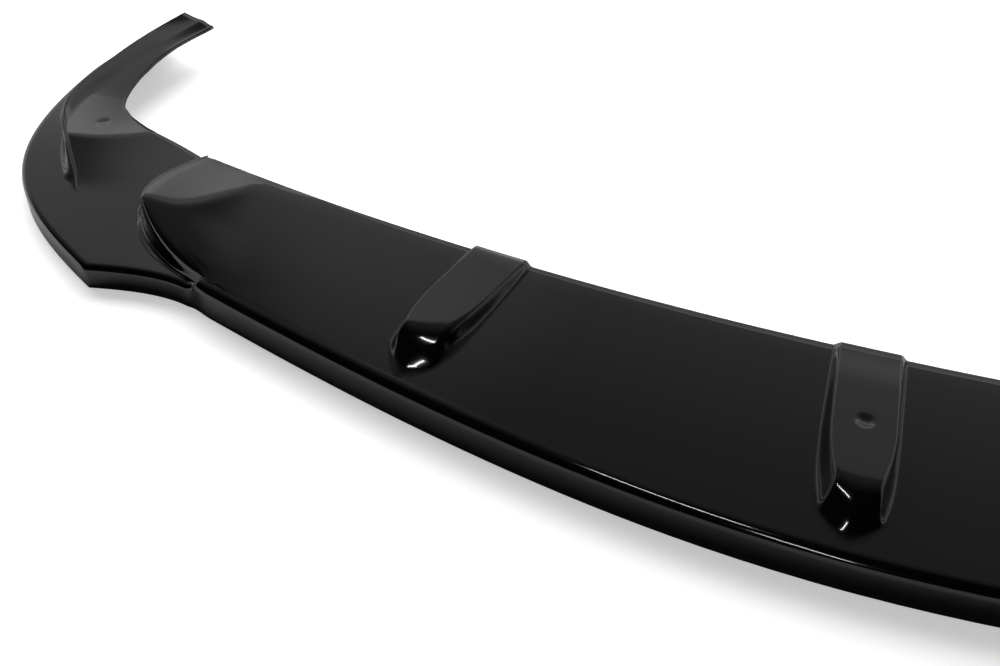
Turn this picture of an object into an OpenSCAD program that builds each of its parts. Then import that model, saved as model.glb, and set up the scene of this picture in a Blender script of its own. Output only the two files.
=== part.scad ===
// Front splitter lip: one formed sheet of gloss plastic, hollow underneath.
// Millimetres, +Z up, +Y towards the rear of the car, origin in the middle of the bounding box on
// the plane of the lip's bottom edge. Only the right half is described, the left mirrors it, and
// it is measured from the middle of the front edge.

/* [Sheet] */
// Thickness of the formed sheet
sheet = 3.5; // [3:0.1:4]

/* [Raised centre panel] */
// Distance from the car's centre to where the front edge drops to the side plate
panel_half_w = 508; // [490:2:540]
// Front edge to rear edge on the car's centre line
panel_depth = 174; // [165:1:190]
// Height of the front lip at its bevelled top
lip_h = 31; // [29:0.5:35]
// Radius of the lip's bevelled top edge
lip_r = 9; // [7:0.5:10]
// Height of the rear edge where it meets the bumper
rear_h = 47; // [44:0.5:50]
// Height of the level facets at the panel's ends
facet_h = 50; // [48:0.5:53]
// How far the front edge bows, larger is straighter
front_bow = 400; // [380:5:450]

/* [Fins] */
// Height of the level fin tops
fin_h = 52; // [51:0.5:56]
// Half width of a fin at its foot
fin_half_w = 24.5; // [23:0.5:27]
// Front edge to the foot of a fin's nose
fin_foot = 17; // [15:0.5:20]
// Length of the sloping nose along the fin
nose_len = 31; // [28:1:36]
// Distance of the outer fins from the centre, at the rear edge
fin_x = 289; // [277:2:305]
// Sideways lean of the outer fins, millimetres per millimetre forwards
fin_splay = 0.27; // [0.2:0.01:0.32]
// Diameter of the round screw dimples
dimple_d = 13; // [10:0.5:14]
// Diameter of the dimples' flat floor
dimple_foot_d = 5; // [4:0.5:7]
// Depth of the round screw dimples
dimple_deep = 1.6; // [1.2:0.1:2]

/* [Side plates] */
// Distance from the car's centre to the pointed front corner
corner_x = 624; // [610:2:640]
// Distance from the car's centre to the outermost edge
half_w = 818; // [805:2:840]
// Height of the low side plate at its front corner
low_h = 22; // [20:0.5:24]
// Rise of the low side plate towards the rear
low_rise = 3; // [1:0.5:5]
// Radius of the side plate's bevelled edge
low_r = 6; // [5:0.5:7]

/* [Wings] */
// Height of the plateau at the top of the ramp
plateau_h = 35; // [33:0.5:38]
// Fall of the plateau towards the rear, behind the ramp
plateau_fall = 2.2; // [1:0.2:3]
// Rise of the wing from the plateau to its tip
wing_rise = 11.5; // [9:0.5:15]
// Length of the ramp beside the ridge
ramp_len = 60; // [54:1:68]
// Length from the front edge to the wing tip
tip_y = 486; // [476:2:500]
// Height of the thin outer ridge above the wing
ridge_h = 3.2; // [2.6:0.2:4]
// Depth of the trough between the wing's two edges at the tip
trough = 3.2; // [2:0.2:4]
// Drop of the turned-down flange on the wing's inner edge at the tip
flange = 6; // [4:0.5:8]

/* [Hidden] */

function mix(a, b, t) = a + (b - a) * t;
function clamp(t) = min(1, max(0, t));
function ease(t) = let (c = clamp(t)) c * c * (3 - 2 * c);
// the smaller or larger of two values, rounded where they cross within k
function smin(a, b, k) = let (h = max(k - abs(a - b), 0) / k) min(a, b) - h * h * k / 4;
function smax(a, b, k) = -smin(-a, -b, k);
function bez2(a, b, c, t) = a * (1 - t) * (1 - t) + b * 2 * t * (1 - t) + c * t * t;
function bez3(a, b, c, d, t) =
    a * pow(1 - t, 3) + b * 3 * t * pow(1 - t, 2) + c * 3 * t * t * (1 - t) + d * pow(t, 3);

// plan curves: front edge, its slope, and rear edge
front_k = 0.375 * front_bow;
rear_radius = 2590;
function front_y(x) = front_k * (sqrt(1 + pow(x / front_bow, 2)) - 1);
function front_slope(x) = front_k * x / (front_bow * front_bow * sqrt(1 + pow(x / front_bow, 2)));
function rear_y(x) = panel_depth + x * x / (2 * rear_radius);

// side plate: nearly level, then a straight ramp up to the wing, which starts at a curved crease
corner_y = 93;
crease_x = half_w - 74;
crease_mid_y = 246;
cross_fall = 0.06;
fall_len = 70;
rise_y = tip_y - 166;
function from_ridge(x) = max(0, crease_x - x);
function crease_y(x) = crease_mid_y + 0.2 * from_ridge(x) + 0.0045 * pow(from_ridge(x), 2);
function past_crease(p) = crease_y(p[0]) - p[1];
function low_z(y) = low_h + low_rise * clamp((y - corner_y) / (tip_y - corner_y));
function wing_z(x, y) =
    let (behind = clamp(-past_crease([x, y]) / fall_len))
    plateau_h - cross_fall * from_ridge(x) - plateau_fall * (1 - pow(1 - behind, 2))
    + wing_rise * ease((y - rise_y) / (tip_y - rise_y));
function side_z(x, y) =
    let (
        length = ramp_len + 0.5 * max(0, from_ridge(x) - 14),
        up = min(1, smax(0, 1 - past_crease([x, y]) / length, 0.12))
    )
    mix(low_z(y), wing_z(x, y), up);

// centre panel: rises from the lip to a crease and falls from there to the rear edge
function panel_z(t, crease, top) =
    let (behind = crease < 1 ? clamp((t - crease) / (1 - crease)) : 0)
    lip_h + (top - lip_h) * smin(1, t / crease, 0.1) - (top - rear_h) * behind;

// fin: level top, steep side walls and a rounded sloping nose, softening into the rear edge
nose_taper = 52;
function boat(d) =
    let (c = clamp((d - fin_foot + 1) / nose_taper))
    max(0.5, sqrt(1 - (1 - c) * (1 - c)));
function fin_z(base, u, d) =
    let (
        foot = fin_foot + 0.02 * u * u,
        brow = fin_foot + nose_len + 0.012 * u * u,
        nose = smin(1, smax(0, (d - foot) / (brow - foot), 0.15), 0.3),
        wall = mix(6.2, 9, ease((d - 110) / 60)),
        side = ease((fin_half_w + 0.7 - abs(u)) / wall)
    )
    base + (fin_h - base) * nose * side;

// distances from the front edge of the rows behind the bevel, and their bulge around a nose
rows = 24;
row_d = [12, 14.5, fin_foot, fin_foot + 2.5, 24, 30, 36, 40.5, 44, 47.5, 51, 57, 68, 86, 108, 131, 154];
row_bulge = [0, 0, 0.02, 0.02, 0.019, 0.017, 0.015, 0.014, 0.013, 0.012, 0.011, 0.009, 0.006, 0.002, 0, 0, 0];
bulge_w = 24;

// wall and bevel rows: from the bottom edge up the wall and round to the plate
wall_lean = 1.2;
function rim(front, inward, top, r) =
    [
        [front[0], front[1], 0],
        [front[0] + inward[0] * wall_lean, front[1] + inward[1] * wall_lean, top - r],
        for (a = [22.5 : 22.5 : 90])
            let (d = wall_lean + r * (1 - cos(a)))
            [front[0] + inward[0] * d, front[1] + inward[1] * d, top - r + r * sin(a)]
    ];

// one column of the centre panel, front to rear; u is the offset across a fin, or undef
function centre_column(xf, xr, u, crease, top, bulge, squeeze, flare, aligned) =
    let (
        x0 = xf - squeeze * (1 - boat(0)),
        s = front_slope(x0),
        inward = [-s, 1] / sqrt(1 + s * s),
        depth = rear_y(xr) - front_y(xf),
        border = wall_lean + lip_r,
        reach = depth - border,
        split = min(crease, 0.9)
    )
    concat(
        rim([x0, front_y(x0)], inward, lip_h, lip_r),
        [
            for (k = [0 : rows - 7])
                let (
                    free = k < len(row_d) ? row_d[k] + row_bulge[k] * bulge * bulge : depth,
                    placed = mix(free, free * depth / panel_depth, ease((free - 60) / 100)),
                    d0 = k < len(row_d) ? placed : depth,
                    knee = k <= 8 ? split * (k + 1) / 9 : split + (1 - split) * (k - 8) / 9,
                    t = mix((d0 - border) / reach, knee, aligned),
                    d = t * reach + border,
                    shift = squeeze * (1 - boat(d)) - flare * ease((t - 0.7) / 0.3),
                    base = panel_z(t, crease, top),
                    z = is_undef(u) ? base : fin_z(base, u, d)
                )
                [mix(xf, xr, d / depth) - shift, front_y(xf - shift) + d, z]
        ]
    );

// fin columns: offsets across a fin, out to its root on the panel
half_offsets = [8, 15, 19, 20.8, 22.3, 23.8, 25.2, 31];
fin_offsets = concat([for (k = [7 : -1 : 0]) -half_offsets[k]], [0], half_offsets);
widen = fin_half_w / 24.5;
fin_root = half_offsets[7] * widen;
rear_flare = 5;
function fin_column(centre, splay, u) =
    let (
        w = u * widen * sqrt(1 + splay * splay),
        xr = centre + w,
        xf = xr + splay * (rear_y(xr) - front_y(xr + splay * 130)),
        flare = rear_flare * sign(u) * clamp((abs(u) - half_offsets[2]) / 6.2)
    )
    centre_column(xf, xr, u * widen, 1, rear_h, min(abs(u), bulge_w), w, flare, 0);
middle_fin = [for (k = [8 : 16]) fin_column(0, 0, fin_offsets[k])];
outer_fin = [for (u = fin_offsets) fin_column(fin_x, fin_splay, u)];
outer_root = fin_root * sqrt(1 + fin_splay * fin_splay);

// plain panel between the fins, and from the outer fin to the panel's end, where a facet opens
between_fins = [
    for (k = [1 : 5])
        let (t = k / 6, far = 1 - 2 * t)
        centre_column(
            mix(fin_root, outer_fin[0][0][0], t), mix(fin_root, fin_x - outer_root, t),
            undef, 1, rear_h, bulge_w * far * far, fin_root * pow(far, 3), 0, 0
        )
];
facet_rear = [panel_half_w + 77, 239];
end_span = [
    for (t = [0.14, 0.29, 0.45, 0.62, 0.76, 0.88])
        let (near = max(0, 1 - 2 * t), open = max(0, 2 * t - 1))
        centre_column(
            mix(outer_fin[16][0][0], panel_half_w, t), mix(fin_x + outer_root, facet_rear[0], pow(t, 0.9)),
            undef, 1 - 0.5 * open * open, mix(rear_h, facet_h, pow(open, 1.3)),
            bulge_w * near * near, fin_root * pow(near, 3), 0, ease((t - 0.1) / 0.6)
        )
];

// step at the panel's end: the panel's edge curve and the foot of the step's wall
step_top = [
    [panel_half_w, 102], [panel_half_w + 58, 128], [panel_half_w + 96, 165],
    [panel_half_w + 109, 197], facet_rear
];
step_foot = [
    [panel_half_w + 20, 103], [panel_half_w + 90, 122], [panel_half_w + 112, 170],
    [panel_half_w + 137, 205], [panel_half_w + 95, 261]
];
low_front = [[panel_half_w + 8, 94.5], [panel_half_w + 40, 107], [corner_x - 44, 103], [corner_x, corner_y]];
join_t = 0.16;
join_w = 22;
step_at = [0, 0.2, 0.38, 0.46, 0.7, 1];
step_fall = [1, 0.93, 0.68, 0.3, 0.06, 0];
function two_bends(v, t) = t <= 0.5 ? bez2(v[0], v[1], v[2], 2 * t) : bez2(v[2], v[3], v[4], 2 * t - 1);
function low_point(t) = bez3(low_front[0], low_front[1], low_front[2], low_front[3], t);
function step_column(k) =
    let (
        m = step_at[k],
        fall = step_fall[k],
        xf = panel_half_w + join_w * m,
        edge = [xf, mix(front_y(xf), low_point(join_t)[1], m)],
        s = front_slope(xf) * (1 - join_t * m),
        inward = [-s, 1] / sqrt(1 + s * s),
        r = mix(low_r, lip_r, fall),
        off = edge + inward * (wall_lean + r) - mix(step_top[0], step_foot[0], m)
    )
    concat(
        rim(edge, inward, mix(low_h, lip_h, fall), r),
        [
            for (k = [1 : rows - 6])
                let (
                    t = k / (rows - 6),
                    p = mix(two_bends(step_top, t), two_bends(step_foot, t), m) + off * pow(1 - t, 3)
                )
                [p[0], p[1], mix(side_z(p[0], p[1]), panel_z(t, 0.5, facet_h), fall)]
        ]
    );

// side columns run from the outer bottom edge inwards to the rear or inner edge, over the ridge
wall_w = 12;
wall_rows = [0.5, 0.92, 1];
wall_share = [0.25, 0.5, 0.78, 1];
wall_rise = [0, 0, 0.05, 0.3, 0.62, 0.92, 1];
row_near = [1.7, 3.8, 6, 8.5, 10, 11.5];
row_in = [0.03, 0.1, 0.22, 0.36, 0.5, 0.64, 0.76, 0.86, 0.93, 0.97, 1];
ramp_rows = [0.08, 0.25, 0.45, 0.65, 0.85, 1];
level_rows = [0.25, 0.5, 0.75, 0.94, 1];
function side_column(outer, inward, crest, inner, bend_out, bend_in, crest_z, sag, drop, loose) =
    let (
        start = outer + inward * (wall_lean + low_r),
        zl = low_z(outer[1]),
        ridge = crest_z - side_z(crest[0], crest[1]),
        width = mix(4, 7.5, clamp(ridge / 6)),
        foot = max(0.35, 1 - wall_w / norm(crest - start)),
        reach = norm(inner - crest),
        qa = past_crease(crest),
        qb = past_crease(inner),
        first = qa <= 0 ? 0 : qb < 0 ? qa / (qa - qb) : 0.9,
        fc = qa <= 0 || qb >= 0 ? first : first * qa / (qa - past_crease(mix(crest, inner, first))),
        out = [
            for (k = [0 : 6])
                let (
                    f = k < 3 ? foot * wall_rows[k] : mix(foot, 1, wall_share[k - 3]),
                    p = mix(start, crest, f) + bend_out * f * (1 - f) * 2
                )
                [p[0], p[1], mix(low_z(p[1]), crest_z, wall_rise[k])]
        ],
        into = [
            for (k = [0 : len(row_in) - 1])
                let (
                    fr = k <= 5 ? fc * ramp_rows[k] : fc + (1 - fc) * level_rows[k - 6],
                    near = k <= 5 ? row_near[k] / reach : 0,
                    f = max(mix(fr, row_in[k], loose), near),
                    p = mix(crest, inner, f) + bend_in * f * (1 - f) * 2,
                    lip = ridge * ease(1 - f * reach / width),
                    dip = sag * 4 * f * (1 - f) + drop * ease((f - 0.6) / 0.4)
                )
                [p[0], p[1], side_z(p[0], p[1]) + lip - dip]
        ]
    )
    concat(rim(outer, inward, zl, low_r), out, into);

function unit(v) = v / norm(v);

// low plate between the step and the pointed corner: place along its front, share of the way over
plate_mid = [half_w - 150, 184];
plate_rear = [half_w - 147, 281];
plate_at = [[0.28, 0.25], [0.45, 0.46], [0.65, 0.69], [0.9, 0.92], [1, 1]];
corner_inward = [-0.13, 1.04];
function plate_column(t, f) =
    let (
        along = unit(low_point(t) - low_point(t - 0.02)),
        inward = t < 1 ? [-along[1], along[0]] : corner_inward,
        mid = mix(step_foot[2], plate_mid, f)
    )
    side_column(
        low_point(t), inward, mid, mix(step_foot[4], plate_rear, f) + [0, 8 * f * (1 - f)],
        mix([24, -14], [2, 0], f), mix([35, 0], [1, 0], f), side_z(mid[0], mid[1]), 0, 0, 0
    );

// outer edge of the side plate
out_a = [[corner_x, corner_y], [corner_x + 140, 163], [half_w - 3, 217], [half_w, 376]];
out_b = [[half_w, 376], [half_w - 1, 425], [half_w - 24, tip_y]];
function out_point(t) =
    t <= 1 ? bez3(out_a[0], out_a[1], out_a[2], out_a[3], t) : bez2(out_b[0], out_b[1], out_b[2], t - 1);
function out_inward(t) =
    let (along = unit(out_point(min(2, t + 0.01)) - out_point(max(0, t - 0.01))))
    [-along[1], along[0]];

// wing: place along the outer edge, then the ridge and the inner edge, each as its distance in from
// the outermost edge and its distance behind the front edge
wing_at = [
    [0.27, 118, 186, 121, 291.3], [0.36, 105, 201.5, 112, 295.5], [0.46, 94, 214.5, 105, 299.5],
    [0.57, 82.5, 227.5, 98.5, 304.5], [0.68, 71, 240, 92, 309.5], [0.79, 60, 252, 86, 317],
    [0.9, 49, 267, 81, 327], [1, 39, 284, 77.5, 338], [1.15, 30, 306, 74.8, 351],
    [1.3, 25, 334, 72.6, 370], [1.45, 26.5, 368, 72.5, 392], [1.6, 30.5, 402, 74.4, 412],
    [1.74, 37, 432, 77.6, 437], [1.87, 44.5, 457, 81.5, 459], [2, 54.5, tip_y - 1, 89, tip_y - 2]
];
function wing_column(k) =
    let (
        v = wing_at[k],
        crest = [half_w - v[1], v[2]],
        crest_z = side_z(crest[0], crest[1]) + ridge_h * ease((v[2] - wing_at[0][2] + 4) / 30),
        sag = trough * ease((v[2] - tip_y + 106) / 100),
        drop = flange * ease((v[2] - tip_y + 86) / 85)
    )
    side_column(
        out_point(v[0]), out_inward(v[0]), crest, [half_w - v[3], v[4]],
        [0, 0], [0, 0], crest_z, sag, drop, ease((k - 3) / 5)
    );
ramp_foot = [half_w - 135, 184];
ramp_column = side_column(
    out_point(0.1), out_inward(0.1), ramp_foot, [half_w - 134, 285.5],
    [0, 0], [0, 0], side_z(ramp_foot[0], ramp_foot[1]), 0, 0, 0
);

half_columns = concat(
    middle_fin, between_fins, outer_fin, end_span,
    [for (k = [0 : len(step_at) - 1]) step_column(k)],
    [for (v = plate_at) plate_column(v[0], v[1])],
    [ramp_column],
    [for (k = [0 : len(wing_at) - 1]) wing_column(k)]
);

count = len(half_columns);
top_grid = concat(
    [for (k = [count - 1 : -1 : 1]) [for (p = half_columns[k]) [-p[0], p[1], p[2]]]],
    half_columns
);
cols = len(top_grid);

// underside: each point moved inwards by the sheet's thickness along the surface normal
function inner_point(i, j) =
    let (
        p = top_grid[i][j],
        du = top_grid[min(cols - 1, i + 1)][j] - top_grid[max(0, i - 1)][j],
        dv = top_grid[i][min(rows - 1, j + 1)] - top_grid[i][max(0, j - 1)],
        c = cross(du, dv),
        q = p - sheet * c / norm(c)
    )
    [q[0], q[1], j == 0 ? 0 : q[2]];

// two triangles of the grid square whose first corner is point a, seen from above or from below
function above(a) = [[a, a + 1, a + rows], [a + rows, a + 1, a + rows + 1]];
function below(a) = [[a, a + rows, a + 1], [a + rows, a + rows + 1, a + 1]];

module shell() {
    top = [for (c = top_grid) for (p = c) p];
    under = [for (i = [0 : cols - 1]) for (j = [0 : rows - 1]) inner_point(i, j)];
    n = cols * rows;
    squares = [for (i = [0 : cols - 2]) for (j = [0 : rows - 2]) i * rows + j];
    front = [for (i = [0 : cols - 2]) i * rows];
    rear = [for (a = front) a + rows - 1];
    left = [for (j = [0 : rows - 2]) j];
    right = [for (j = left) n - rows + j];
    faces = concat(
        [for (a = squares) each above(a)],
        [for (a = squares) each below(a + n)],
        [for (a = front) each [[a, a + rows, n + a], [a + rows, n + a + rows, n + a]]],
        [for (a = rear) each [[a, n + a, a + rows], [a + rows, n + a, n + a + rows]]],
        [for (a = left) each [[a, n + a, a + 1], [a + 1, n + a, n + a + 1]]],
        [for (a = right) each [[a, a + 1, n + a], [a + 1, n + a + 1, n + a]]]
    );
    polyhedron(points = concat(top, under), faces = faces, convexity = 10);
}

// shallow countersunk place for a screw head
middle_dimple_y = 101;
wing_dimple = [half_w - 88, 278];
module dimple() {
    above = 2;
    flare = (dimple_d - dimple_foot_d) / dimple_deep;
    translate([0, 0, -dimple_deep])
        cylinder(h = dimple_deep + above, d1 = dimple_foot_d, d2 = dimple_d + above * flare, $fn = 48);
}

module splitter_lip() {
    color([0.02, 0.02, 0.022])
        translate([0, -tip_y / 2, 0])
        difference() {
            shell();
            translate([0, middle_dimple_y, fin_h])
                dimple();
            for (side = [-1, 1])
                translate([side * wing_dimple[0], wing_dimple[1], wing_z(wing_dimple[0], wing_dimple[1])])
                    dimple();
        }
}

splitter_lip();
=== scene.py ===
from math import radians

import bmesh
import bpy
import numpy as np
from mathutils import Euler, Matrix, Vector


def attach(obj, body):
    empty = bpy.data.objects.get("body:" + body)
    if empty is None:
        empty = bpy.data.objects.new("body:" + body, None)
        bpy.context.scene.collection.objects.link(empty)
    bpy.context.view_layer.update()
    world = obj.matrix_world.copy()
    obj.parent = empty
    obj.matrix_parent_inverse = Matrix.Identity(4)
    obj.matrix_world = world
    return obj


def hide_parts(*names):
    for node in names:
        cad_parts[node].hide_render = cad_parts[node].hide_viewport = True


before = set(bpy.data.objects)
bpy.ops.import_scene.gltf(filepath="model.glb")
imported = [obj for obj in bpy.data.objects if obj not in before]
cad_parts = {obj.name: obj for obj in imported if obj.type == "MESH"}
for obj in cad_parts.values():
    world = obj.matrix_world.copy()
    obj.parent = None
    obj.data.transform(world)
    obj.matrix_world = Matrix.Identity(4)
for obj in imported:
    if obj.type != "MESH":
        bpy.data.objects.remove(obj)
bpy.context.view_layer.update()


# ---- Splitter lip ----
# One sheet of black ABS, heated and drawn over a mould, so every edge is rounded and the
# underside is hollow. The skirt and the rear edge are trimmed square. Sizes are millimetres from
# the middle of the front edge, +Y towards the car, and the left half mirrors the right one.
SHEET = 3.5
LIP_H, LIP_R, REAR_H, FACET_H = 31, 9, 47, 50
PANEL_HALF_W, PANEL_DEPTH = 508, 174
FRONT_BOW, REAR_RADIUS = 400, 2590
FIN_H, FIN_HALF_W, FIN_FOOT, NOSE_LEN = 52, 24.5, 17, 31
FIN_X, FIN_SPLAY, FIN_ROOT, FIN_SKEW = 287.5, 0.27, 31, 0.35
FIN_TOP_FALL = 1.2
LOW_H, LOW_RISE, LOW_R = 22, 3, 6
CORNER = (624, 93)
HALF_W, TIP_Y = 818, 486
PLATEAU_H, PLATEAU_FALL, RAMP_LEN, CREASE_Y = 35, 2.2, 60, 246
WING_RISE, WING_RISE_LEN, RIDGE_INSET = 11.5, 166, 74
RIDGE_H, TROUGH, FLANGE = 3.2, 3.2, 6
WALL_LEAN = 1.2
DIMPLE_D, DIMPLE_FOOT_D, DIMPLE_DEEP = 13, 5, 1.6
DIMPLES = (0, 101, DIMPLE_DEEP), (HALF_W - 88, 278, DIMPLE_DEEP / 3)


def mix(a, b, t):
    return a + (b - a) * t


def ease(t):
    t = np.clip(t, 0, 1)
    return t * t * (3 - 2 * t)


def smaller(a, b, k):
    h = np.maximum(k - np.abs(a - b), 0) / k
    return np.minimum(a, b) - h * h * k / 4


def larger(a, b, k):
    return -smaller(-a, -b, k)


def through(knots, values, at):
    """A smooth curve through the values at the knots that doesn't overshoot them."""
    knots, at = np.asarray(knots, float), np.asarray(at, float)
    values = np.asarray(values, float)
    flat = values.reshape(len(knots), -1)
    gap = np.diff(knots)[:, None]
    rise = np.diff(flat, axis=0) / gap
    slope = np.zeros_like(flat)
    slope[0], slope[-1] = rise[0], rise[-1]
    before, after = rise[:-1], rise[1:]
    same = before * after > 0
    w1, w2 = 2 * gap[1:] + gap[:-1], gap[1:] + 2 * gap[:-1]
    safe = np.where(same, before, 1), np.where(same, after, 1)
    slope[1:-1] = np.where(same, (w1 + w2) / (w1 / safe[0] + w2 / safe[1]), 0)
    k = np.clip(np.searchsorted(knots, at) - 1, 0, len(knots) - 2)
    h = gap[k]
    t = ((at - knots[k])[:, None]) / h
    out = ((2 * t**3 - 3 * t**2 + 1) * flat[k] + (t**3 - 2 * t**2 + t) * h * slope[k]
           + (3 * t**2 - 2 * t**3) * flat[k + 1] + (t**3 - t**2) * h * slope[k + 1])
    return out.reshape((len(at),) + values.shape[1:])


def bezier(points, t):
    points = [np.asarray(p, float) for p in points]
    t = np.asarray(t, float)[:, None]
    while len(points) > 1:
        points = [mix(a, b, t) for a, b in zip(points, points[1:])]
    return points[0]


def front_y(x):
    return 0.375 * FRONT_BOW * (np.sqrt(1 + (x / FRONT_BOW) ** 2) - 1)


def front_inward(x):
    slope = 0.375 * x / (FRONT_BOW * np.sqrt(1 + (x / FRONT_BOW) ** 2))
    return np.array([-slope, 1.0]) / np.hypot(slope, 1)


def rear_y(x):
    return PANEL_DEPTH + x * x / (2 * REAR_RADIUS)


def low_z(y):
    return LOW_H + LOW_RISE * np.clip((y - CORNER[1]) / (TIP_Y - CORNER[1]), 0, 1)


def from_ridge(x):
    """How far a point lies inside the wing's ridge, softly held at zero."""
    return larger(np.zeros_like(x), HALF_W - RIDGE_INSET - x, 30)


def crease_y(x):
    return CREASE_Y + 0.2 * from_ridge(x) + 0.0045 * from_ridge(x) ** 2


def wing_z(x, y):
    behind = np.clip((y - crease_y(x)) / 70, 0, 1)
    rise_y = TIP_Y - WING_RISE_LEN
    return (PLATEAU_H - 0.06 * from_ridge(x) - PLATEAU_FALL * (1 - (1 - behind) ** 2)
            + WING_RISE * np.clip((y - rise_y) / (TIP_Y - rise_y), 0, 1) ** 1.4)


def side_z(p):
    """Nearly level plate, a straight ramp, and the wing that starts at the ramp's curved crease."""
    x, y = p[..., 0], p[..., 1]
    length = RAMP_LEN + 0.5 * np.maximum(0, from_ridge(x) - 14)
    up = np.minimum(1, larger(np.zeros_like(x), 1 - (crease_y(x) - y) / length, 0.12))
    return mix(low_z(y), wing_z(x, y), smaller(up, np.ones_like(x), 0.03))


BOAT_D = [16, 18, 22, 25, 32, 45, 61, 80, 95]
BOAT = [0.43, 0.47, 0.57, 0.65, 0.75, 0.865, 0.94, 0.98, 1]


def boat(d):
    """Width of a fin's foot at a distance from the front edge, as a share of its full width."""
    return through(BOAT_D, BOAT, np.clip(d, BOAT_D[0], BOAT_D[-1]))


TOP_D = [18, 30, 40, 48, 54, 64, 76, 92]
TOP_EDGE = [18, 15.6, 15, 15.4, 16.6, 18.4, 20.3, 21.2]


def fin_z(base, u, d, skew):
    """Level top, steep walls and a flat sloping nose, which meet in rounded edges."""
    foot = FIN_FOOT + 4 + 0.02 * u * u
    brow = FIN_FOOT + NOSE_LEN - 5 + 0.01 * u * u - skew * u
    nose = (d - foot) / (brow - foot)
    along = np.clip(d + max(0, skew * u) * 2, TOP_D[0], TOP_D[-1])
    top_edge = through(TOP_D, TOP_EDGE, along) + 0.4
    wall = (FIN_HALF_W + 1.1 - abs(u)) / (FIN_HALF_W + 1.1 - top_edge)
    soft = mix(0.5, 0.3, np.clip((nose - wall) * 2 + 0.5, 0, 1))
    lift = smaller(nose, wall, 0.25)
    lift = smaller(larger(lift, np.zeros_like(d), soft), np.ones_like(d), soft)
    return base + (FIN_H - base - FIN_TOP_FALL * ease((d - 130) / 45)) * lift


WALL_STEPS = np.linspace(0, 1, 5)
BEVEL_TURN = np.radians(np.linspace(9, 90, 10))


def rim(edge, inward, top, r):
    """Skirt wall and rounded bevel, from the bottom edge up."""
    wall = [(*(edge + inward * WALL_LEAN * s), s * (top - r)) for s in WALL_STEPS]
    turn = [(*(edge + inward * (WALL_LEAN + r * (1 - np.cos(a)))), top - r + r * np.sin(a))
            for a in BEVEL_TURN]
    return np.array(wall + turn)


PLATE_ROWS = np.concatenate([
    np.linspace(11, 15, 4), np.linspace(16.2, 52, 31), np.linspace(54, 90, 13),
    np.linspace(92.5, 109.5, 9), np.linspace(115, PANEL_DEPTH, 11)])
BULGE = through([0, 14.5, 17, 24, 36, 51, 68, 86, 108, 180],
                [0, 0, 0.02, 0.019, 0.015, 0.011, 0.006, 0.002, 0, 0], PLATE_ROWS)
N_ROWS = len(PLATE_ROWS)
STEP_TOP = [(508, 102), (566, 128), (604, 165), (617, 197), (585, 239)]
STEP_FOOT = [(528, 103), (598, 122), (620, 170), (645, 205), (603, 261)]


def two_bends(points, t):
    first, second = np.minimum(t * 2, 1), np.maximum(t * 2 - 1, 0)
    return np.where((t <= 0.5)[:, None], bezier(points[:3], first), bezier(points[2:], second))


def panel_rise(t, crease, top):
    """Up from the lip to the crease, then down a little to the rear edge."""
    behind = np.clip((t - crease) / (1.0001 - crease), 0, 1)
    up = LIP_H + (top - LIP_H) * smaller(np.ones_like(t), t / crease, 0.1)
    return up - (top - REAR_H) * smaller(behind, np.ones_like(t), 0.1)


def panel_column(xf, xr, u=None, crease=1, top=REAR_H, bulge=0, squeeze=0, skew=0, aligned=0,
                 bow=0):
    """One line from the front edge to the rear edge. u is its offset across a fin, or None."""
    foot_x = xf - squeeze * (1 - BOAT[0])
    start = WALL_LEAN + LIP_R
    depth = rear_y(xr) - front_y(xf)
    rows = PLATE_ROWS + BULGE * bulge**2
    rows = mix(rows, rows * depth / PANEL_DEPTH, ease((rows - 60) / 100))
    rows[-1] = depth
    half = N_ROWS // 2
    split = min(crease, 0.9)
    knee = np.concatenate([np.linspace(0, split, half + 1)[1:],
                           np.linspace(split, 1, N_ROWS - half + 1)[1:]])
    t = mix((rows - start) / (depth - start), knee, aligned)
    d = t * (depth - start) + start
    shift = squeeze * (1 - boat(d))
    x = mix(xf, xr, d / depth) - shift
    z = panel_rise(t, crease, top)
    if u is not None:
        z = fin_z(z, u, d, skew)
    plate = np.stack([x, front_y(xf - shift) + d, z], 1)
    chord = mix(np.array(STEP_TOP[0]), np.array(STEP_TOP[-1]), t[:, None])
    plate[:, :2] += bow * (two_bends(STEP_TOP, t) - chord) * ease(t * 4)[:, None]
    edge = np.array([foot_x, front_y(foot_x)])
    return np.concatenate([rim(edge, front_inward(foot_x), LIP_H, LIP_R), plate])


ACROSS = np.concatenate([np.linspace(0, 12, 6), np.linspace(13, 26.6, 22), [27.4, 29, FIN_ROOT]])


def fin_columns(centre, splay, skew, offsets):
    """The lines over one fin, from its middle or from side to side."""
    lines = []
    for u in offsets:
        w = u * np.hypot(1, splay)
        xr = centre + w
        xf = xr + splay * (rear_y(xr) - front_y(xr + splay * 130))
        lines.append(dict(xf=xf, xr=xr, u=u, bulge=min(abs(u), 24), squeeze=w, skew=skew))
    return lines


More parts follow.
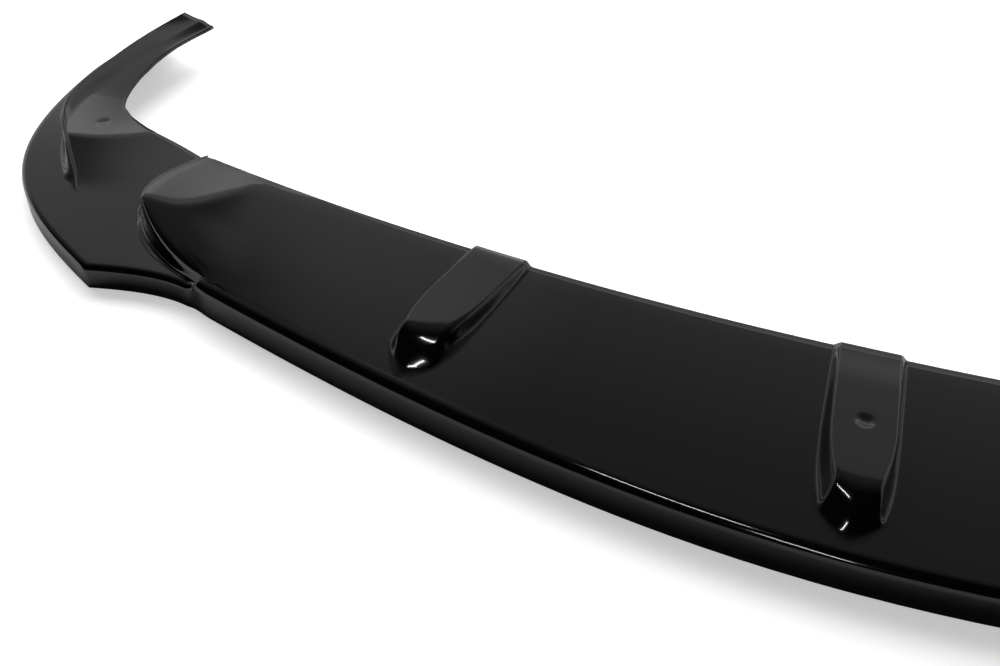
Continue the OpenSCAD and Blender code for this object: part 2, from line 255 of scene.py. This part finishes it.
middle_fin = fin_columns(0, 0, 0, ACROSS)
outer_fin = fin_columns(FIN_X, FIN_SPLAY, FIN_SKEW, np.concatenate([-ACROSS[:0:-1], ACROSS]))
lines = list(middle_fin)
for t in np.linspace(0, 1, 15)[1:-1]:
    far = 1 - 2 * t
    lines.append(dict(xf=mix(middle_fin[-1]["xf"], outer_fin[0]["xf"], t), bulge=24 * far**2,
                      xr=mix(middle_fin[-1]["xr"], outer_fin[0]["xr"], t), squeeze=FIN_ROOT * far**3))
lines += outer_fin
for t in np.linspace(0, 1, 39)[1:-1]:
    near, opened = max(0, 1 - 2 * t), ease((t - 0.7) / 0.25)
    lines.append(dict(xf=mix(outer_fin[-1]["xf"], PANEL_HALF_W, t),
                      xr=mix(outer_fin[-1]["xr"], STEP_TOP[-1][0], t**0.9), bulge=24 * near**2,
                      crease=1 - 0.45 * opened - 0.05 * ease((t - 0.3) / 0.4),
                      top=mix(REAR_H, FACET_H, ease((t - 0.4) / 0.6)), squeeze=FIN_ROOT * near**3,
                      aligned=ease((t - 0.1) / 0.6), bow=max(0, (t - 0.45) / 0.55) ** 3))
columns = [panel_column(**line) for line in lines]

# the panel's end steps down to the low plate: a broad round edge, a steep wall, a hollow foot
STEP_AT = [0, 0.2, 0.38, 0.46, 0.7, 1]
STEP_FALL = [1, 0.96, 0.72, 0.42, 0.15, 0]
HOLLOW_AT, HOLLOW = [0, 0.38, 0.5, 0.66, 0.9, 1], [0, 0, 1.6, 2.2, 0.5, 0]
LOW_FRONT = [(516, 94.5), (548, 107), (580, 103), CORNER]
JOIN = 0.16
join_point = bezier(LOW_FRONT, [JOIN])[0]
row_share = np.linspace(0, 1, N_ROWS + 1)[1:]
top_line, foot_line = two_bends(STEP_TOP, row_share), two_bends(STEP_FOOT, row_share)
step_m = np.concatenate([np.linspace(0, 0.36, 12), np.linspace(0.38, 0.48, 8),
                         np.linspace(0.5, 1, 18)])
hollow_along = ease(row_share / 0.12) * ease((0.66 - row_share) / 0.3)
for m in step_m:
    fall = float(through(STEP_AT, STEP_FALL, [m])[0])
    xf = mix(PANEL_HALF_W, join_point[0], m**0.6)
    edge = np.array([xf, mix(front_y(xf), join_point[1], m)])
    border = rim(edge, front_inward(xf), mix(LOW_H, LIP_H, fall), mix(LOW_R, LIP_R, fall))
    start = mix(np.array(STEP_TOP[0]), np.array(STEP_FOOT[0]), m)
    line = mix(top_line, foot_line, m) + (border[-1, :2] - start) * ((1 - row_share) ** 3)[:, None]
    high = panel_rise(row_share, 0.5, FACET_H)
    hollow = float(through(HOLLOW_AT, HOLLOW, [m])[0]) * hollow_along
    line_z = mix(side_z(line), high, fall) - hollow
    columns.append(np.concatenate([border, np.column_stack([line, line_z])]))

# low side plate and wing: lines from the outer edge over the ridge to the inner edge
PLATE_AT = [JOIN, 0.28, 0.45, 0.65, 0.9, 1]
PLATE_SHARE = [0, 0.25, 0.46, 0.69, 0.92, 1]
PLATE_MID = (620, 170), (668, 184)
PLATE_REAR = (603, 261), (671, 281)
PLATE_BEND = (24, -14, 35, 0), (2, 0, 1, 0)
OUTER = ([CORNER, (764, 163), (815, 217), (HALF_W, 376)],
         [(HALF_W, 376), (HALF_W - 1, 425), (HALF_W - 24, TIP_Y)])
WING_AT = [0, 0.1, 0.27, 0.36, 0.46, 0.57, 0.68, 0.79, 0.9, 1, 1.15, 1.3, 1.45, 1.6, 1.74, 1.87, 2]
RIDGE = [(668, 184), (683, 184), (696, 186), (709.5, 201.5), (721.5, 214.5), (733.5, 227.5),
         (745, 240), (757, 252), (770, 267), (781, 284), (790, 306), (793.5, 334), (791.5, 368),
         (787.5, 402), (781, 432), (773.5, 457), (763.5, TIP_Y - 1)]
INNER = [(671, 281), (684, 285.5), (697, 291.3), (706, 295.5), (713, 299.5), (719.5, 304.5),
         (726, 309.5), (732, 317), (737, 327), (740.5, 338), (743.2, 351), (745.4, 370),
         (745.5, 392), (743.6, 412), (740.4, 437), (736.5, 459), (729, TIP_Y - 2)]
WALL_W, NEAR_CREST = 9.5, 9
WALL_AT = [0, 0.25, 0.5, 0.78, 1]
WALL_RISE = [0.05, 0.3, 0.62, 0.92, 1]
N_OUT = 31
wall_f = np.linspace(0, 1, N_OUT - 12)[1:]
out_rise = np.concatenate([np.zeros(11), [0.012, 0.05], through(WALL_AT, WALL_RISE, wall_f)])
in_f = np.linspace(0, 1, N_ROWS - N_OUT + 1)[1:]


def side_column(edge, inward, crest, inner, bends, crest_z, sag, drop):
    """One line from the outer edge over the ridge's crest to the inner edge."""
    border = rim(edge, inward, float(low_z(edge[1])), LOW_R)
    start = border[-1, :2]
    tall = np.clip((crest_z - float(low_z(crest[1]))) / 5, 0.4, 1)
    foot = max(0.35, 1 - WALL_W * tall / np.linalg.norm(crest - start))
    out_f = np.concatenate([np.linspace(0, foot * 0.94, 12)[1:], [foot * 0.97, foot],
                            mix(foot, 1, wall_f)])
    sway = (out_f * (1 - out_f) * 2)[:, None]
    out = mix(start, crest, out_f[:, None]) + np.array(bends[:2]) * sway
    out_z = mix(low_z(out[:, 1]), crest_z, out_rise)
    reach = np.linalg.norm(inner - crest)
    near = NEAR_CREST / reach
    f = np.where(in_f < 0.4, in_f / 0.4 * near, near + (1 - near) * (in_f - 0.4) / 0.6)
    sway = (f * (1 - f) * 2)[:, None]
    over = mix(crest, inner, f[:, None]) + np.array(bends[2:]) * sway
    ridge = crest_z - float(side_z(crest))
    width = mix(1.2 + 0.8 * ridge, 40, ease((crest[1] - 236) / 130))
    dip = sag * 4 * f * (1 - f) + drop * ease((f - 0.6) / 0.4)
    over_z = side_z(over) + ridge * ease(1 - f * reach / width) - dip
    return np.concatenate([border, np.column_stack([out, out_z]), np.column_stack([over, over_z])])


def left_of(direction):
    direction = direction / np.linalg.norm(direction)
    return np.array([-direction[1], direction[0]])


miter = left_of(bezier(LOW_FRONT, [1])[0] - bezier(LOW_FRONT, [0.97])[0]) + left_of(
    bezier(OUTER[0], [0.03])[0] - bezier(OUTER[0], [0])[0])
miter = miter / (miter @ miter) * 2
plate_t = np.linspace(JOIN, 1, 34)[1:]
for t, share in zip(plate_t, through(PLATE_AT, PLATE_SHARE, plate_t)):
    mid, rear, bend = [mix(np.array(v[0], float), np.array(v[1]), share)
                       for v in (PLATE_MID, PLATE_REAR, PLATE_BEND)]
    rear[1] += 8 * share * (1 - share)
    a, edge = bezier(LOW_FRONT, [t - 0.01, t])
    inward = mix(left_of(edge - a), miter, ease((t - 0.9) / 0.1))
    columns.append(side_column(edge, inward, mid, rear, bend, float(side_z(mid)), 0, 0))
wing_t = np.concatenate([np.linspace(0, 0.9, 42)[1:], np.linspace(0.9, 2, 42)[1:]])
for t, crest, inner in zip(wing_t, through(WING_AT, RIDGE, wing_t), through(WING_AT, INNER, wing_t)):
    curve, s = (OUTER[0], t) if t <= 1 else (OUTER[1], t - 1)
    s = min(s, 0.99)
    a, b = bezier(curve, [s, s + 0.01])
    edge = bezier(curve, [t if t <= 1 else t - 1])[0]
    inward = mix(miter, left_of(b - a), ease(t / 0.06))
    y = crest[1]
    crest_z = float(side_z(crest) + RIDGE_H * ease((y - 182) / 30) * ease(t / 0.2))
    sag = TROUGH * ease((y - TIP_Y + 66) / 62)
    drop = FLANGE * ease((y - TIP_Y + 86) / 85)
    columns.append(side_column(edge, inward, crest, inner, (0, 0, 0, 0), crest_z, sag, drop))

# the lines of both halves become one grid, with the shallow screw dimples pressed into it
half = np.array(columns)
half[0, :, 0] = 0
for x, y, deep in DIMPLES:
    r = np.hypot(half[..., 0] - x, half[..., 1] - y) * 2
    half[..., 2] -= deep * ease((DIMPLE_D - r) / (DIMPLE_D - DIMPLE_FOOT_D))
whole = np.concatenate([half[:0:-1] * (-1, 1, 1), half])
whole[..., 1] -= TIP_Y / 2
whole *= 0.001
n_cols, n_rows = whole.shape[:2]
skin = bmesh.new()
bmesh.ops.create_grid(skin, x_segments=n_cols - 1, y_segments=n_rows - 1, size=1)
for v in skin.verts:
    i = round((v.co.x + 1) / 2 * (n_cols - 1))
    j = round((v.co.y + 1) / 2 * (n_rows - 1))
    v.co = Vector(whole[i, j])
mesh = bpy.data.meshes.new("splitter_skin")
skin.to_mesh(mesh)
skin.free()
mesh.shade_smooth()
splitter = bpy.data.objects.new("splitter_skin", mesh)
bpy.context.scene.collection.objects.link(splitter)
wall = splitter.modifiers.new("sheet", "SOLIDIFY")
wall.thickness = SHEET / 1000
wall.offset = -1
wall.use_even_offset = False
mesh.set_sharp_from_angle(angle=radians(50))


def linear(hex_colour):
    """sRGB hex to the linear RGBA that a shader socket takes."""
    parts = [int(hex_colour[i:i + 2], 16) / 255 for i in (1, 3, 5)]
    return [c / 12.92 if c <= 0.04045 else ((c + 0.055) / 1.055) ** 2.4 for c in parts] + [1]


def add_node(tree, kind, settings=(), inputs=(), links=()):
    """Adds one node: settings are its own values, inputs its sockets, links come from other nodes."""
    made = tree.nodes.new(kind)
    for key, value in dict(settings).items():
        setattr(made, key, value)
    for key, value in dict(inputs).items():
        made.inputs[key].default_value = value
    for key, source in dict(links).items():
        tree.links.new(source, made.inputs[key])
    return made


# formed ABS sheet with its factory gloss: near-black, and it mirrors the room slightly blurred
abs_gloss = bpy.data.materials.new("gloss_black_abs")
abs_gloss.use_nodes = True
tree = abs_gloss.node_tree
shader = tree.nodes["Principled BSDF"]
shader.inputs["Base Color"].default_value = linear("#040404")
shader.inputs["Roughness"].default_value = 0.09
shader.inputs["IOR"].default_value = 1.5
splitter.data.materials.append(abs_gloss)
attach(splitter, "root")
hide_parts("splitter_lip")


# ---- Floor, light and camera ----
# A pale floor and room that the camera sees as plain white. In the gloss the room is bright low
# behind the part, with one brighter patch, and dark overhead and in front, as in the photograph.
ground = bmesh.new()
bmesh.ops.create_grid(ground, x_segments=1, y_segments=1, size=6)
floor_mesh = bpy.data.meshes.new("floor")
ground.to_mesh(floor_mesh)
ground.free()
floor = bpy.data.objects.new("floor", floor_mesh)
bpy.context.scene.collection.objects.link(floor)
paper = bpy.data.materials.new("white_paper")
paper.use_nodes = True
tree = paper.node_tree
tree.nodes.remove(tree.nodes["Principled BSDF"])
seen = add_node(tree, "ShaderNodeLightPath")
dull = add_node(tree, "ShaderNodeBsdfDiffuse", inputs={"Color": linear("#e6e6e6")})
glow = add_node(tree, "ShaderNodeEmission", inputs={"Color": (1, 1, 1, 1), "Strength": 0.5})
both = add_node(tree, "ShaderNodeAddShader", links={0: dull.outputs[0], 1: glow.outputs[0]})
pick = add_node(tree, "ShaderNodeMixShader",
                links={0: seen.outputs["Is Camera Ray"], 1: dull.outputs[0], 2: both.outputs[0]})
tree.links.new(pick.outputs[0], tree.nodes["Material Output"].inputs["Surface"])
floor.data.materials.append(paper)

world = bpy.data.worlds.new("studio")
bpy.context.scene.world = world
world.use_nodes = True
tree = world.node_tree
where = add_node(tree, "ShaderNodeTexCoord")
parts = add_node(tree, "ShaderNodeSeparateXYZ", links={0: where.outputs["Generated"]})
angle = add_node(tree, "ShaderNodeMath", settings={"operation": "ARCTAN2"},
                 links={0: parts.outputs["Z"], 1: parts.outputs["Y"]})
share = add_node(tree, "ShaderNodeMapRange", inputs={"From Min": -np.pi, "From Max": np.pi},
                 links={"Value": angle.outputs[0]})
ramp = add_node(tree, "ShaderNodeValToRGB", links={0: share.outputs[0]})
ROOM = [(-180, 0.05), (-10, 0.3), (20, 0.5), (26, 0.73), (32, 1.08), (35, 1.05), (38, 0.65),
        (41, 0.45), (50, 0.43), (53, 0.38), (56, 0.31), (60, 0.22), (65, 0.18), (80, 0.14),
        (90, 0.07), (104, 0.015), (180, 0.01)]
PATCH_SIDE, PATCH_GLARE = (-0.385, 0.593, 0.707), 0.18
stops = ramp.color_ramp.elements
while len(stops) < len(ROOM):
    stops.new(0.5)
for stop, (degrees, bright) in zip(stops, ROOM):
    stop.position = (degrees + 180) / 360
for stop, (degrees, bright) in zip(stops, ROOM):
    stop.color = (bright, bright, bright, 1)
patch = add_node(tree, "ShaderNodeVectorMath", settings={"operation": "DOT_PRODUCT"},
                 inputs={1: PATCH_SIDE}, links={0: where.outputs["Generated"]})
glare = add_node(tree, "ShaderNodeMapRange", settings={"interpolation_type": "SMOOTHSTEP"},
                 inputs={"From Min": 0.97, "From Max": 0.998, "To Max": PATCH_GLARE},
                 links={"Value": patch.outputs["Value"]})
total = add_node(tree, "ShaderNodeMath", links={0: ramp.outputs[0], 1: glare.outputs["Result"]})
seen = add_node(tree, "ShaderNodeLightPath")
bright = add_node(tree, "ShaderNodeMath", settings={"operation": "MAXIMUM"},
                  links={0: total.outputs[0], 1: seen.outputs["Is Camera Ray"]})
tree.links.new(bright.outputs[0], tree.nodes["Background"].inputs["Color"])
tree.nodes["Background"].inputs["Strength"].default_value = 1.2


def lamp(name, start, end, width, target, watts, in_gloss):
    """A long lamp from start to end that faces the target and is seen either in the gloss or not."""
    start, end = Vector(start), Vector(end)
    along = (end - start).normalized()
    middle = (start + end) / 2
    across = (middle - Vector(target)).cross(along).normalized()
    data = bpy.data.lights.new(name, "AREA")
    data.shape = "RECTANGLE"
    data.size, data.size_y = (end - start).length, width
    data.energy = watts
    made = bpy.data.objects.new(name, data)
    made.location = middle
    made.rotation_euler = Matrix((along, across, along.cross(across))).transposed().to_euler()
    made.visible_glossy, made.visible_diffuse, made.visible_camera = in_gloss, not in_gloss, False
    bpy.context.scene.collection.objects.link(made)


front = -TIP_Y / 2000
lamp("soft_behind", (-4.2, 1.4, 2.2), (0, 3.4, 2.2), 2.5, (-0.8, 0, 0), 260, False)
lamp("strip_high", (-0.54, front - 0.39, 1.5), (-0.08, front - 0.76, 1.43), 0.035,
     (-0.1, front, 0.03), 4, True)
lamp("strip_low", (-0.075, front - 1.33, 0.91), (0.25, front - 1.49, 0.55), 0.03,
     (0, front, 0.03), 2.5, True)

camera_data = bpy.data.cameras.new("camera")
camera_data.sensor_width = 36
camera_data.lens = 35.1
camera = bpy.data.objects.new("camera", camera_data)
camera.location = (-0.0921, front - 0.385, 0.545)
camera.rotation_euler = Euler((radians(46.21), 0, radians(18.85)))
bpy.context.scene.collection.objects.link(camera)
bpy.context.scene.camera = camera
bpy.context.scene.view_settings.view_transform = "Standard"
